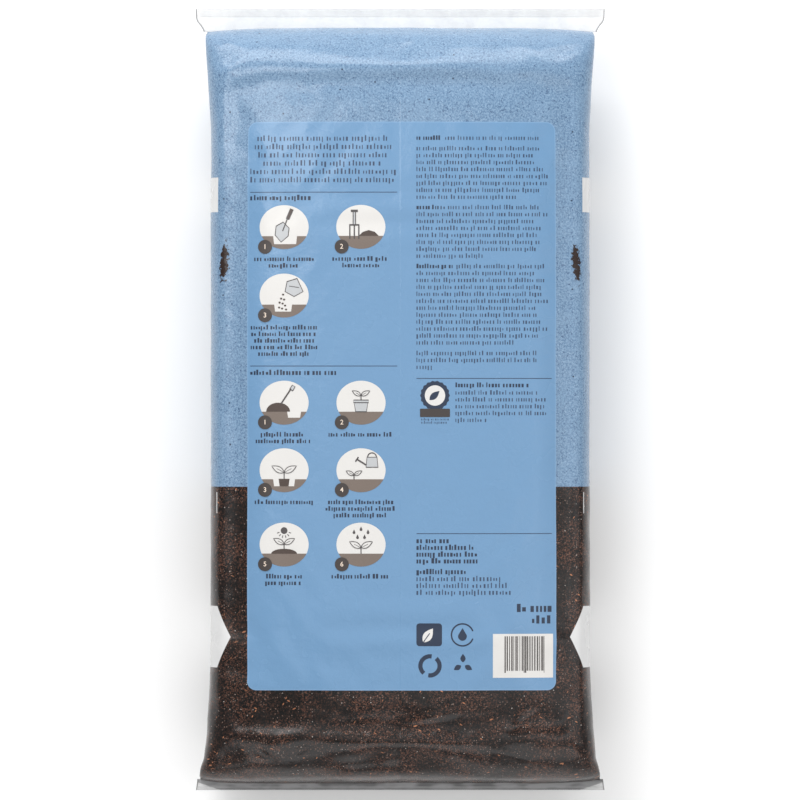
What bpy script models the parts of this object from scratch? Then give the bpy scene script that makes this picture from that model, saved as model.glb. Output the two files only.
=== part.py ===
"""A filled 45 litre compost bag: one gusseted tube of film, welded flat across both ends.

The bag lies on its front, as it comes to rest. X runs across the bag, Y along it towards its top
end, and Z up through its thickness. The origin is the middle of its footprint, on the ground.
"""

from math import pi

import bmesh
import bpy
import numpy as np

NAME = "compost_bag"

# The film tube, in metres.
FLAT_WIDTH = 0.409          # across the empty tube, and so across both welded fins
GUSSET_DEPTH = 0.044        # how far each side is folded in between the flat panels
HALF_GIRTH = FLAT_WIDTH + 2 * GUSSET_DEPTH

# The filled bag.
LENGTH = 0.781              # over both fins
TOP_FIN = 0.019             # free length of the weld at the top end
BOTTOM_FIN = 0.007          # free length of the weld at the bottom end
FIN_THICKNESS = 0.0008      # four layers of film, welded, with the crimp of the jaws
FIN_OVERLAP = 0.006         # how far a fin's root reaches into the filled body
FIN_HEIGHT = 0.076          # level of both fins above the ground
UPPER_SWELL = 0.079         # from the fins' level up to the crown
LOWER_SWELL = 0.080         # from the fins' level down, before the ground flattens it
SQUARENESS = 3.6            # exponent of the section: 2 is an ellipse, more is boxier

# Half widths of the filled body along its length, from the bottom end to the top end.
WIDTH_STATIONS = (
    (-0.3835, 0.2025),
    (-0.3705, 0.1995),
    (-0.3605, 0.1963),
    (-0.3305, 0.1933),
    (-0.2700, 0.1903),
    (0.2700, 0.1900),
    (0.3295, 0.1928),
    (0.3715, 0.1960),
)
BOTTOM_NOSE = 0.085         # length over which the bottom end swells from its weld
TOP_NOSE = 0.105            # the same at the top end, where the bag is slacker
NOSE_ROUNDNESS = 2.3

RINGS = 34                  # sections along the bag
HALF_RING_POINTS = 33       # points on half a section, from the underside round to the crown
TUCK_HEIGHT = 0.75          # share of the side's height over which the gusset folds in

FILM_BLUE = (0.21, 0.37, 0.58, 1.0)
FILM_ROUGHNESS = 0.35

BODY_END_BOTTOM = -LENGTH / 2 + BOTTOM_FIN
BODY_END_TOP = LENGTH / 2 - TOP_FIN


def half_width(y):
    """Half the width of the filled body at a place along it."""
    places, widths = zip(*WIDTH_STATIONS)
    return np.interp(y, places, widths)


def swelling(y):
    """How far the body has swelled at a place along it: 0 at the welds, 1 in the middle."""
    from_bottom = min((y - BODY_END_BOTTOM) / BOTTOM_NOSE, 1.0)
    from_top = min((BODY_END_TOP - y) / TOP_NOSE, 1.0)
    rise = 1.0
    for share in (from_bottom, from_top):
        rise *= (1.0 - (1.0 - max(share, 0.0)) ** NOSE_ROUNDNESS) ** (1.0 / NOSE_ROUNDNESS)
    return rise


def resampled(x, z, count):
    """The same outline with points spaced evenly along it."""
    along = np.concatenate([[0.0], np.cumsum(np.hypot(np.diff(x), np.diff(z)))])
    places = np.linspace(0.0, along[-1], count)
    return np.interp(places, along, x), np.interp(places, along, z)


def outline_length(x, z):
    """Length of an outline given by its points."""
    return np.hypot(np.diff(x), np.diff(z)).sum()


def half_section(y):
    """Outline of the right half of the bag at y, from its underside round the side to its crown."""
    rise = swelling(y)
    phi = np.linspace(-pi / 2, pi / 2, 721)
    x = half_width(y) * np.abs(np.cos(phi)) ** (2 / SQUARENESS)
    x[[0, -1]] = 0.0
    bulge = np.sign(phi) * np.abs(np.sin(phi)) ** (2 / SQUARENESS)
    z = FIN_HEIGHT + rise * np.where(phi > 0, UPPER_SWELL, LOWER_SWELL) * bulge
    z = np.maximum(z, 0.0)
    if rise > 0.0:
        # What the girth has to spare is tucked in at the side, as the fold of the gusset.
        spare = max(HALF_GIRTH - outline_length(x, z), 0.0) / 2
        tuck = np.clip(1.0 - np.abs(z - FIN_HEIGHT) / (TUCK_HEIGHT * rise * UPPER_SWELL), 0.0, 1.0)
        x = x - spare * tuck * min(rise * 3.0, 1.0)
        x *= half_width(y) / x.max()
    side = len(phi) // 2
    quarter = HALF_RING_POINTS // 2 + 1
    low_x, low_z = resampled(x[: side + 1], z[: side + 1], quarter)
    high_x, high_z = resampled(x[side:], z[side:], quarter)
    return np.concatenate([low_x, high_x[1:]]), np.concatenate([low_z, high_z[1:]])


def ring_places():
    """Places of the sections along the body, closer together towards the welds."""
    share = (1.0 - np.cos(np.linspace(0.0, pi, RINGS))) / 2
    return BODY_END_BOTTOM + share * (BODY_END_TOP - BODY_END_BOTTOM)


def filled_body(material, collection):
    """The filled tube, lofted as its right half and mirrored."""
    mesh = bpy.data.meshes.new(NAME)
    bm = bmesh.new()
    bmesh.ops.create_grid(bm, x_segments=HALF_RING_POINTS - 1, y_segments=RINGS - 1, size=1.0)
    bm.verts.ensure_lookup_table()
    for row, y in enumerate(ring_places()):
        for column, (x, z) in enumerate(zip(*half_section(y))):
            bm.verts[row * HALF_RING_POINTS + column].co = (x, y, z)
    bmesh.ops.remove_doubles(bm, verts=bm.verts, dist=1e-5)
    bmesh.ops.recalc_face_normals(bm, faces=bm.faces)
    bm.to_mesh(mesh)
    bm.free()
    mesh.materials.append(material)
    body = bpy.data.objects.new(NAME, mesh)
    collection.objects.link(body)
    mirror = body.modifiers.new("other_half", "MIRROR")
    mirror.merge_threshold = 0.0001
    return body


def fin(name, root_y, end_y, root_width, collection):
    """A welded fin as a cutter: a thin plate that widens from its root to the width of the flat tube."""
    mesh = bpy.data.meshes.new(name)
    bm = bmesh.new()
    bmesh.ops.create_cube(bm, size=1.0)
    for vertex in bm.verts:
        at_end = vertex.co.y > 0
        vertex.co.x *= FLAT_WIDTH if at_end else root_width
        vertex.co.y = end_y if at_end else root_y
        vertex.co.z = FIN_HEIGHT + vertex.co.z * FIN_THICKNESS
    bmesh.ops.recalc_face_normals(bm, faces=bm.faces)
    bm.to_mesh(mesh)
    bm.free()
    plate = bpy.data.objects.new(name, mesh)
    plate.hide_render = True
    plate.display_type = "WIRE"
    collection.objects.link(plate)
    return plate


def weld_on(body, plate):
    """Makes a fin one with the body."""
    joined = body.modifiers.new(plate.name, "BOOLEAN")
    joined.operation = "UNION"
    joined.solver = "EXACT"
    joined.object = plate


def film_material():
    """Printed polyethylene film with a satin face."""
    material = bpy.data.materials.new("printed_film")
    material.use_nodes = True
    shader = material.node_tree.nodes["Principled BSDF"]
    shader.inputs["Base Color"].default_value = FILM_BLUE
    shader.inputs["Roughness"].default_value = FILM_ROUGHNESS
    shader.inputs["Metallic"].default_value = 0.0
    return material


def main():
    """Clears the scene and builds the bag."""
    for old in list(bpy.data.objects):
        bpy.data.objects.remove(old, do_unlink=True)
    bag = bpy.data.collections.new(NAME)
    cutters = bpy.data.collections.new("cutters")
    for collection in (bag, cutters):
        bpy.context.scene.collection.children.link(collection)

    body = filled_body(film_material(), bag)
    top_root = BODY_END_TOP - FIN_OVERLAP
    bottom_root = BODY_END_BOTTOM + FIN_OVERLAP
    weld_on(body, fin("top_fin", top_root, LENGTH / 2, 2 * half_width(top_root), cutters))
    weld_on(body, fin("bottom_fin", bottom_root, -LENGTH / 2, 2 * half_width(bottom_root), cutters))


main()
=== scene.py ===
"""Looks of a filled 45 litre compost bag that lies on its front.

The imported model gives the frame. This script lays a finely modelled film tube over it, with welded
fins, puckers and dents, prints the film, and adds the floor, the lights and the camera.
"""

import logging
from collections.abc import Mapping, Sequence
from dataclasses import dataclass, field
from enum import Enum
from math import atan2, cos, pi, radians, sin, tau
from typing import Any, ClassVar

import bmesh
import bpy
import numpy as np
from mathutils import Matrix, Vector


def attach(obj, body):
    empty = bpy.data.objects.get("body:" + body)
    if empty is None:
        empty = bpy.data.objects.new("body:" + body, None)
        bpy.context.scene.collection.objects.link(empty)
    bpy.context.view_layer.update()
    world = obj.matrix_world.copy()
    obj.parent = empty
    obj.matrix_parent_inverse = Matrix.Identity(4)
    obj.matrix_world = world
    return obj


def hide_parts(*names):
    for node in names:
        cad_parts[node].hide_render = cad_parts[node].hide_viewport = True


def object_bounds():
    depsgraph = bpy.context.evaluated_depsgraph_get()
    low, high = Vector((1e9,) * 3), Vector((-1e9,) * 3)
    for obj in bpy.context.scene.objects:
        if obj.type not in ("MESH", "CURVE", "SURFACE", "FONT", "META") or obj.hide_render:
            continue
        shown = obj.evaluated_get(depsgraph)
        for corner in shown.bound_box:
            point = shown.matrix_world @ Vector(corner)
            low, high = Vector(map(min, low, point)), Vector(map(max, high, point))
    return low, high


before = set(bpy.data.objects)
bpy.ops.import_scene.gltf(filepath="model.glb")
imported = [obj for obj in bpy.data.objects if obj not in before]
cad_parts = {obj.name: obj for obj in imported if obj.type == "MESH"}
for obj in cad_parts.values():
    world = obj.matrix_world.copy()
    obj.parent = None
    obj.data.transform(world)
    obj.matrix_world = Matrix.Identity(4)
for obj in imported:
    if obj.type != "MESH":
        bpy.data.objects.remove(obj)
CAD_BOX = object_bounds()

log = logging.getLogger("compost_bag")

NODE = "compost_bag"
BODY = "root"
ARTWORK_MM = 0.00099        # one artwork millimetre: the plates print one per cent under size

Colour = tuple[float, float, float]


def linear(red: float, green: float, blue: float) -> Colour:
    """Turns a display colour of 0 to 255 into scene-linear light.

    Args:
        red: Red on a display.
        green: Green on a display.
        blue: Blue on a display.

    Returns:
        The same colour in linear light, from 0 to 1.
    """
    share = np.array([red, green, blue]) / 255
    light = np.where(share <= 0.04045, share / 12.92, ((share + 0.055) / 1.055) ** 2.4)
    return tuple(float(c) for c in light)


# ---------------------------------------------------------------------------------------------
# Nodes
# ---------------------------------------------------------------------------------------------


class Wire:
    """A node's output that takes part in arithmetic."""

    def __init__(self, graph: "Graph", socket: bpy.types.NodeSocket) -> None:
        """Wraps a socket.

        Args:
            graph: The graph that the socket belongs to.
            socket: The output socket.
        """
        self.graph = graph
        self.socket = socket

    def math(self, operation: str, *others: Any) -> "Wire":
        """Runs the wire through a Math node.

        Args:
            operation: The Math node's operation.
            others: The node's further inputs, as wires or numbers.

        Returns:
            The result.
        """
        return self.graph.math(operation, self, *others)

    def __add__(self, other: Any) -> "Wire":
        """Sum."""
        return self.math("ADD", other)

    def __radd__(self, other: float) -> "Wire":
        """Sum with a number on the left."""
        return self.graph.math("ADD", other, self)

    def __sub__(self, other: Any) -> "Wire":
        """Difference."""
        return self.math("SUBTRACT", other)

    def __rsub__(self, other: float) -> "Wire":
        """Difference from a number on the left."""
        return self.graph.math("SUBTRACT", other, self)

    def __mul__(self, other: Any) -> "Wire":
        """Product."""
        return self.math("MULTIPLY", other)

    def __rmul__(self, other: float) -> "Wire":
        """Product with a number on the left."""
        return self.graph.math("MULTIPLY", other, self)

    def __truediv__(self, other: Any) -> "Wire":
        """Quotient."""
        return self.math("DIVIDE", other)

    def __abs__(self) -> "Wire":
        """Size without sign."""
        return self.math("ABSOLUTE")

    def at_least(self, other: Any) -> "Wire":
        """The larger of two."""
        return self.math("MAXIMUM", other)

    def at_most(self, other: Any) -> "Wire":
        """The smaller of two."""
        return self.math("MINIMUM", other)

    def ramp(self, low: float, high: float, at_low: float = 0.0, at_high: float = 1.0) -> "Wire":
        """Maps a span of values to another with soft ends, and holds the ends beyond it.

        Args:
            low: Value that gives at_low.
            high: Value that gives at_high.
            at_low: Result at and beyond low.
            at_high: Result at and beyond high.

        Returns:
            The mapped value.
        """
        values = {"Value": self, "From Min": low, "From Max": high, "To Min": at_low, "To Max": at_high}
        settings = {"interpolation_type": "SMOOTHSTEP"}
        if low > high:
            values.update({"From Min": high, "From Max": low, "To Min": at_high, "To Max": at_low})
        return self.graph.wire("ShaderNodeMapRange", settings, values)


class Graph:
    """A node tree with one way to add any node, and sums written as expressions."""

    def __init__(self, tree: bpy.types.NodeTree) -> None:
        """Wraps a tree and empties it.

        Args:
            tree: The node tree to fill.
        """
        self.tree = tree
        tree.nodes.clear()

    def add(
        self,
        kind: str,
        settings: Mapping[str, Any] | None = None,
        values: Mapping[Any, Any] | None = None,
    ) -> bpy.types.Node:
        """Adds a node, sets it up and feeds its inputs.

        Args:
            kind: The node's type.
            settings: The node's own properties, set before its sockets.
            values: Wires, sockets or constants for inputs, by name or index.

        Returns:
            The node.
        """
        node = self.tree.nodes.new(kind)
        for name, setting in (settings or {}).items():
            setattr(node, name, setting)
        for name, value in (values or {}).items():
            self.feed(node.inputs[name], value)
        return node

    def feed(self, socket: bpy.types.NodeSocket, value: Any) -> None:
        """Links or sets one input.

        Args:
            socket: The input.
            value: A wire, a socket or a constant.
        """
        if isinstance(value, Wire):
            value = value.socket
        if isinstance(value, bpy.types.NodeSocket):
            self.tree.links.new(value, socket)
        elif socket.type == "RGBA" and isinstance(value, tuple):
            socket.default_value = (*value, 1.0)
        else:
            socket.default_value = value

    def wire(
        self,
        kind: str,
        settings: Mapping[str, Any] | None = None,
        values: Mapping[Any, Any] | None = None,
        output: Any = 0,
    ) -> Wire:
        """Adds a node and returns one of its outputs.

        Args:
            kind: The node's type.
            settings: As for add.
            values: As for add.
            output: Name or index of the output.

        Returns:
            The output as a wire.
        """
        return Wire(self, self.add(kind, settings, values).outputs[output])

    def math(self, operation: str, *parts: Any) -> Wire:
        """Adds a Math node.

        Args:
            operation: Its operation.
            parts: Its inputs in order.

        Returns:
            The result.
        """
        return self.wire("ShaderNodeMath", {"operation": operation}, dict(enumerate(parts)))

    def vector(self, operation: str, *parts: Any) -> Wire:
        """Adds a Vector Math node.

        Args:
            operation: Its operation.
            parts: Its inputs in order.

        Returns:
            The result.
        """
        return self.wire("ShaderNodeVectorMath", {"operation": operation}, dict(enumerate(parts)))

    def blend(self, factor: Any, base: Any, over: Any) -> Wire:
        """Lays one colour over another.

        Args:
            factor: How much of the upper colour shows, 0 to 1.
            base: The lower colour.
            over: The upper colour.

        Returns:
            The mixed colour.
        """
        node = self.add("ShaderNodeMix", {"data_type": "RGBA"})
        colours = [s for s in node.inputs if s.type == "RGBA"]
        self.feed(node.inputs[0], factor)
        self.feed(colours[0], base)
        self.feed(colours[1], over)
        return Wire(self, next(s for s in node.outputs if s.type == "RGBA"))

    def noise(self, place: Any, scale: float, detail: float = 2.0, rough: float = 0.5) -> Wire:
        """Adds flat fractal noise, which averages one half.

        Args:
            place: Where to read it.
            scale: Features to the metre.
            detail: Octaves.
            rough: How strong each octave is beside the last.

        Returns:
            Noise from 0 to 1.
        """
        return self.wire(
            "ShaderNodeTexNoise",
            {"noise_dimensions": "2D"},
            {"Vector": place, "Scale": scale, "Detail": detail, "Roughness": rough},
            "Fac",
        )

    def flecks(self, place: Any, scale: float, radius: float, rare: float) -> tuple[Wire, Wire]:
        """Scatters soft-edged flecks, one to a cell, and leaves some cells bare.

        Args:
            place: Where to read them.
            scale: Cells to the metre.
            radius: Size of a fleck as a share of its cell.
            rare: Share of the cells left bare.

        Returns:
            1 inside a fleck, and a random value for each fleck.
        """
        node = self.add("ShaderNodeTexVoronoi", {"voronoi_dimensions": "2D"}, {"Vector": place, "Scale": scale})
        chance, tint, _ = self.parted(Wire(self, node.outputs["Color"]))
        near = Wire(self, node.outputs["Distance"]).ramp(radius * 0.6, radius * 1.2, 1.0, 0.0)
        return near * chance.math("GREATER_THAN", rare), tint

    def spun(self, place: Any, turn: float, squeeze: float) -> Wire:
        """Turns a flat pattern and squeezes it across, so that its spots become strands.

        Args:
            place: Where the pattern is read.
            turn: Direction of the strands, in radians.
            squeeze: How many times longer than wide they are.

        Returns:
            The place to read the pattern at.
        """
        turned = self.wire("ShaderNodeVectorRotate", {"rotation_type": "Z_AXIS"}, {"Vector": place, "Angle": turn})
        return self.vector("MULTIPLY", turned, (1.0, squeeze, 1.0))

    def parted(self, vector: Any) -> tuple[Wire, Wire, Wire]:
        """Splits a vector.

        Args:
            vector: The vector or colour.

        Returns:
            Its three parts.
        """
        node = self.add("ShaderNodeSeparateXYZ", None, {0: vector})
        return tuple(Wire(self, s) for s in node.outputs)

    def joined(self, x: Any, y: Any, z: Any = 0.0) -> Wire:
        """Makes a vector of three values.

        Args:
            x: First part.
            y: Second part.
            z: Third part.

        Returns:
            The vector.
        """
        return self.wire("ShaderNodeCombineXYZ", None, {0: x, 1: y, 2: z})


def new_material(name: str) -> tuple[bpy.types.Material, Graph]:
    """Makes an empty node material.

    Args:
        name: The material's name.

    Returns:
        The material and its graph.
    """
    material = bpy.data.materials.new(name)
    material.use_nodes = True
    return material, Graph(material.node_tree)


# ---------------------------------------------------------------------------------------------
# Finishes
# ---------------------------------------------------------------------------------------------


@dataclass(frozen=True)
class InkFinish:
    """A flat ink under the film's satin face."""

    name: str
    colour: Colour
    mottle: float = 0.05
    roughness: float = 0.33

    def dress(self) -> bpy.types.Material:
        """Makes the ink's material, with the slight unevenness of flexographic print.

        Returns:
            The material.
        """
        material, graph = new_material(self.name)
        place = graph.wire("ShaderNodeTexCoord", None, None, "Object")
        uneven = graph.noise(place, 900.0, 3.0) * self.mottle * 2.0 + (1.0 - self.mottle)
        tone = graph.vector("MULTIPLY", self.colour, graph.joined(uneven, uneven, uneven))
        face = graph.noise(place, 14.0).ramp(0.3, 0.7, self.roughness - 0.03, self.roughness + 0.05)
        shader = graph.add(
            "ShaderNodeBsdfPrincipled",
            None,
            {"Base Color": tone, "Roughness": face, "IOR": 1.43},
        )
        graph.add("ShaderNodeOutputMaterial", None, {"Surface": shader.outputs[0]})
        return material


class Ink(Enum):
    """The inks of the back's small print."""

    TEXT = InkFinish("text_ink", linear(52, 68, 92))
    BOLD = InkFinish("bold_ink", linear(36, 48, 68))
    DISC = InkFinish("disc_white", linear(207, 205, 202), 0.02)
    EARTH = InkFinish("earth_ink", linear(112, 100, 92), 0.08)
    BADGE = InkFinish("badge_ink", linear(60, 54, 52))
    STROKE = InkFinish("stroke_ink", linear(74, 70, 70))
    METAL = InkFinish("metal_grey", linear(176, 178, 180), 0.03)
    POT = InkFinish("pot_brown", linear(70, 58, 52))
    NUMBER = InkFinish("number_cream", linear(222, 205, 188), 0.02)


@dataclass(frozen=True)
class PrintedFilmFinish:
    """The tube's print: speckled paper blue over a bed of soil, with a plain panel on the back.

    The film's own map is in metres: across the tube from the lap seam down the middle of the back,
    and along it from the middle of its length.
    """

    girth: float
    soil_line: float
    panel_left: float
    panel_right: float
    panel_top: float
    panel_bottom: float
    panel_corner: float = 0.009
    paper: Colour = linear(90, 118, 147)
    paper_light: Colour = linear(124, 152, 179)
    paper_pale: Colour = linear(152, 177, 201)
    paper_dark: Colour = linear(54, 78, 110)
    paper_speck: Colour = linear(20, 28, 48)
    panel: Colour = linear(104, 141, 176)
    panel_rim: Colour = linear(117, 152, 186)
    soil: Colour = linear(4, 3, 3)
    crumb: Colour = linear(22, 16, 15)
    fibre: Colour = linear(112, 74, 58)
    bark: Colour = linear(128, 106, 96)
    flake: Colour = linear(172, 114, 82)
    grit: Colour = linear(172, 164, 158)
    heap: Colour = linear(38, 24, 19)
    tag: Colour = linear(204, 204, 204)

    def across(self, graph: Graph, u: Wire) -> Wire:
        """Turns the distance from the lap seam round the tube into the distance across the back.

        Args:
            graph: Not used.
            u: Distance round the tube, 0 to the girth.

        Returns:
            Distance across, negative on the left half.
        """
        left_half = u.math("GREATER_THAN", self.girth / 2)
        return u - left_half * self.girth

    def panel_inset(self, graph: Graph, x: Wire, y: Wire) -> Wire:
        """Depth inside the panel's rounded outline.

        Args:
            graph: The material's graph.
            x: Distance across.
            y: Distance along.

        Returns:
            Metres inside the outline, negative outside it.
        """
        middle_x = (self.panel_left + self.panel_right) / 2
        middle_y = (self.panel_top + self.panel_bottom) / 2
        half_x = (self.panel_right - self.panel_left) / 2 - self.panel_corner
        half_y = (self.panel_top - self.panel_bottom) / 2 - self.panel_corner
        past_x = abs(x - middle_x) - half_x
        past_y = abs(y - middle_y) - half_y
        corner = graph.vector("LENGTH", graph.joined(past_x.at_least(0.0), past_y.at_least(0.0)))
        length = Wire(graph, corner.socket.node.outputs["Value"])
        return self.panel_corner - length - past_x.at_least(past_y).at_most(0.0)

    def paper_colour(self, graph: Graph, place: Wire) -> Wire:
        """Recycled-paper blue with clouds, grain, dark fibres and specks.

        Args:
            graph: The material's graph.
            place: The film's map.

        Returns:
            The colour.
        """
        grain = graph.noise(place, 520.0, 3.0, 0.7).ramp(0.3, 0.7)
        tone = graph.blend(grain, self.paper, self.paper_light)
        cloud = graph.noise(place, 40.0, 3.0).ramp(0.42, 0.75, 0.0, 0.3)
        tone = graph.blend(cloud, tone, self.paper_light)
        for scale, share, colour in ((210.0, 0.75, self.paper_dark), (260.0, 0.6, self.paper_pale)):
            strand = abs(graph.noise(place, scale, 1.0) - 0.5).ramp(0.0, 0.03, share, 0.0)
            broken = graph.noise(place, scale * 1.3, 1.0).ramp(0.45, 0.55)
            tone = graph.blend(strand * broken, tone, colour)
        for turn, scale, rare in ((0.6, 120.0, 0.93), (2.2, 130.0, 0.93)):
            hair, _ = graph.flecks(graph.spun(place, turn, 6.0), scale, 0.22, rare)
            tone = graph.blend(hair * 0.6, tone, self.paper_dark)
        dot, _ = graph.flecks(place, 110.0, 0.09, 0.86)
        tone = graph.blend(dot * 0.7, tone, self.paper_dark)
        speck, _ = graph.flecks(place, 34.0, 0.034, 0.72)
        return graph.blend(speck * 0.85, tone, self.paper_speck)

    def soil_colour(self, graph: Graph, place: Wire) -> Wire:
        """A bed of dark soil with crumbs, brown fibres, bark flakes and pale grit.

        Args:
            graph: The material's graph.
            place: The film's map.

        Returns:
            The colour.
        """
        lumps = graph.noise(place, 240.0, 4.0, 0.75).ramp(0.46, 0.74)
        tone = graph.blend(lumps, self.soil, self.crumb)
        cluster = graph.noise(place, 24.0, 3.0, 0.6).ramp(0.38, 0.62, 0.2, 1.0)
        strands = ((0.35, 240.0, 0.55), (1.05, 300.0, 0.6), (1.75, 220.0, 0.65), (2.35, 270.0, 0.6), (2.95, 330.0, 0.6))
        for turn, scale, rare in strands:
            strand, tint = graph.flecks(graph.spun(place, turn, 3.4), scale, 0.3, rare)
            colour = graph.blend(tint, self.crumb, self.fibre)
            tone = graph.blend(strand * cluster * 0.9, tone, colour)
        crumb, tint = graph.flecks(place, 430.0, 0.26, 0.74)
        tone = graph.blend(crumb * tint.ramp(0.2, 1.0, 0.0, 0.8), tone, self.bark)
        for turn, scale, rare in ((0.5, 120.0, 0.975), (2.1, 150.0, 0.98), (2.8, 95.0, 0.98)):
            chip, tint = graph.flecks(graph.spun(place, turn, 2.6), scale, 0.2, rare)
            tone = graph.blend(chip * tint.ramp(0.0, 0.9, 0.3, 1.0), tone, self.flake)
        grit, tint = graph.flecks(place, 170.0, 0.1, 0.9)
        return graph.blend(grit * tint.ramp(0.2, 1.0, 0.3, 0.95), tone, self.grit)

    def tag_mask(self, x: Wire, y: Wire) -> Wire:
        """The pointed white tags that wrap round from the sides onto the edges of the back.

        Args:
            x: Distance across.
            y: Distance along.

        Returns:
            1 inside a tag.
        """
        half_height = 0.0305
        middle = -0.2357
        apex = 0.1690
        slope = 0.53
        inward = abs(x) - apex - abs(y - middle) * slope
        inside = inward.ramp(-0.0003, 0.0003)
        return inside * (half_height - abs(y - middle)).ramp(-0.0003, 0.0003)

    def side_heap(self, graph: Graph, place: Wire, x: Wire, y: Wire) -> Wire:
        """Small heaps of loose crumbs printed on both edges of the back.

        Args:
            graph: The material's graph.
            place: The film's map.
            x: Distance across.
            y: Distance along.

        Returns:
            1 inside a crumb.
        """
        out = (abs(x) - 0.1765) / 0.0085
        up = (y - 0.136) / 0.034
        lean = out + up * 0.35
        reach = (lean * lean + up * up).math("SQRT")
        lumps = graph.noise(place, 260.0, 3.0, 0.7) + reach.ramp(0.0, 1.25, 0.28, -0.42)
        return lumps.ramp(0.5, 0.54)

    def edge_plates(self, x: Wire, y: Wire) -> Wire:
        """The pale plates and thin lines that reach the back's edges from the sides.

        Args:
            x: Distance across.
            y: Distance along.

        Returns:
            1 inside a plate or a line.
        """
        fine = 0.0003
        plate = (abs(x) - 0.1842).ramp(-fine, fine) * (0.0172 - abs(y - 0.2035)).ramp(-fine, fine)
        line = (0.0006 - abs(abs(x) - 0.1865)).ramp(-fine, fine) * (0.0105 - abs(y + 0.1025)).ramp(-fine, fine)
        return plate.at_least(line)

    def dress(self) -> bpy.types.Material:
        """Makes the printed film's material.

        Returns:
            The material.
        """
        material, graph = new_material("printed_film")
        place = graph.wire("ShaderNodeUVMap", {"uv_map": "film"}, None)
        u, y, _ = graph.parted(place)
        x = self.across(graph, u)
        in_soil = (self.soil_line - y).ramp(-0.0004, 0.0004)
        tone = graph.blend(in_soil, self.paper_colour(graph, place), self.soil_colour(graph, place))
        tone = graph.blend(self.side_heap(graph, place, x, y), tone, self.heap)
        tone = graph.blend(self.tag_mask(x, y).at_least(self.edge_plates(x, y)), tone, self.tag)
        inset = self.panel_inset(graph, x, y)
        tone = graph.blend(inset.ramp(-0.0004, 0.0004), tone, self.panel_rim)
        tone = graph.blend(inset.ramp(0.0004, 0.0014), tone, self.panel)
        satin = graph.noise(place, 22.0, 3.0).ramp(0.3, 0.7, 0.19, 0.3)
        creases = graph.noise(place, 130.0, 4.0, 0.6) * 0.5 + graph.noise(place, 38.0, 2.0) * 0.9
        lap = x.ramp(-0.0006, 0.0006, 0.0, 0.25)
        height = creases + lap
        relief = graph.add("ShaderNodeBump", None, {"Strength": 0.25, "Distance": 0.002, "Height": height})
        shader = graph.add(
            "ShaderNodeBsdfPrincipled",
            None,
            {"Base Color": tone, "Roughness": satin, "IOR": 1.43, "Normal": relief.outputs[0]},
        )
        graph.add("ShaderNodeOutputMaterial", None, {"Surface": shader.outputs[0]})
        return material


@dataclass(frozen=True)
class ClearFilmFinish:
    """Unprinted film at a weld: milky where its layers are fused."""

    name: str = "clear_film"
    colour: Colour = linear(232, 232, 231)
    shade: Colour = linear(205, 206, 208)
    clearness: float = 0.65

    def dress(self) -> bpy.types.Material:
        """Makes the clear film's material.

        Returns:
            The material.
        """
        material, graph = new_material(self.name)
        place = graph.wire("ShaderNodeTexCoord", None, None, "Object")
        haze = graph.noise(place, 160.0, 3.0).ramp(0.3, 0.7, 0.22, 0.38)
        tone = graph.blend(graph.noise(place, 60.0).ramp(0.35, 0.7, 0.0, 0.4), self.colour, self.shade)
        shader = graph.add(
            "ShaderNodeBsdfPrincipled",
            None,
            {"Base Color": tone, "Roughness": haze, "IOR": 1.49, "Alpha": 1.0 - self.clearness},
        )
        graph.add("ShaderNodeOutputMaterial", None, {"Surface": shader.outputs[0]})
        return material


@dataclass(frozen=True)
class HeelFilmFinish:
    """The bottom weld: an opaque grey middle that is painted shade, standing in for the dark body and its shadow seen
    through the clear film, with painted gleams over it; clear at its corners.
    """

    fold: float
    slant: float
    end: float
    # Painted shade and painted gleam: a grey for the dark body and its shadow seen through the weld, and a lighter grey
    # for gleams on the film.
    painted_shade_grey: Colour = linear(96, 96, 97)
    painted_gleam: Colour = linear(142, 142, 143)
    line: Colour = linear(52, 52, 53)
    corner: Colour = linear(205, 205, 205)

    def dress(self) -> bpy.types.Material:
        """Makes the bottom weld's material.

        Returns:
            The material.
        """
        material, graph = new_material("heel_film")
        place = graph.wire("ShaderNodeTexCoord", None, None, "Object")
        x, y, _ = graph.parted(place)
        above = y - self.end
        # Painted shade: the middle stays an opaque grey for the dark body and its shadow behind the clear weld; the
        # noise streaks over it are painted gleams, and a dark line runs along the weld's far end.
        stretched = graph.vector("MULTIPLY", place, (0.35, 1.0, 1.0))
        painted_gleam = graph.noise(stretched, 90.0, 2.0).ramp(0.35, 0.65) * above.ramp(0.0, 0.003)
        tone = graph.blend(painted_gleam, self.painted_shade_grey, self.painted_gleam)
        tone = graph.blend(above.ramp(0.0002, 0.0014, 0.8, 0.0), tone, self.line)
        corner = (abs(x) - self.fold - above * self.slant).ramp(-0.001, 0.001)
        tone = graph.blend(corner, tone, self.corner)
        shader = graph.add(
            "ShaderNodeBsdfPrincipled",
            None,
            {"Base Color": tone, "Roughness": 0.3, "IOR": 1.49, "Alpha": corner.ramp(0.0, 1.0, 1.0, 0.6)},
        )
        graph.add("ShaderNodeOutputMaterial", None, {"Surface": shader.outputs[0]})
        return material


# ---------------------------------------------------------------------------------------------
# The filled tube
# ---------------------------------------------------------------------------------------------


@dataclass(frozen=True)
class Dent:
    """A dip or a ridge in the film's upper face, as a long soft spot.

    Places are across and along the bag in metres. A negative depth is a ridge.
    """

    across: float
    along: float
    length: float
    width: float
    turn: float
    depth: float

    def lowering(self, x: np.ndarray, y: np.ndarray) -> np.ndarray:
        """How far the dent lowers the film.

        Args:
            x: Places across.
            y: Places along.

        Returns:
            Metres down at each place.
        """
        angle = radians(self.turn)
        right, up = x - self.across, y - self.along
        lengthwise = right * cos(angle) + up * sin(angle)
        crosswise = up * cos(angle) - right * sin(angle)
        return self.depth * np.exp(-((lengthwise / self.length) ** 2) - (crosswise / self.width) ** 2)


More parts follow.
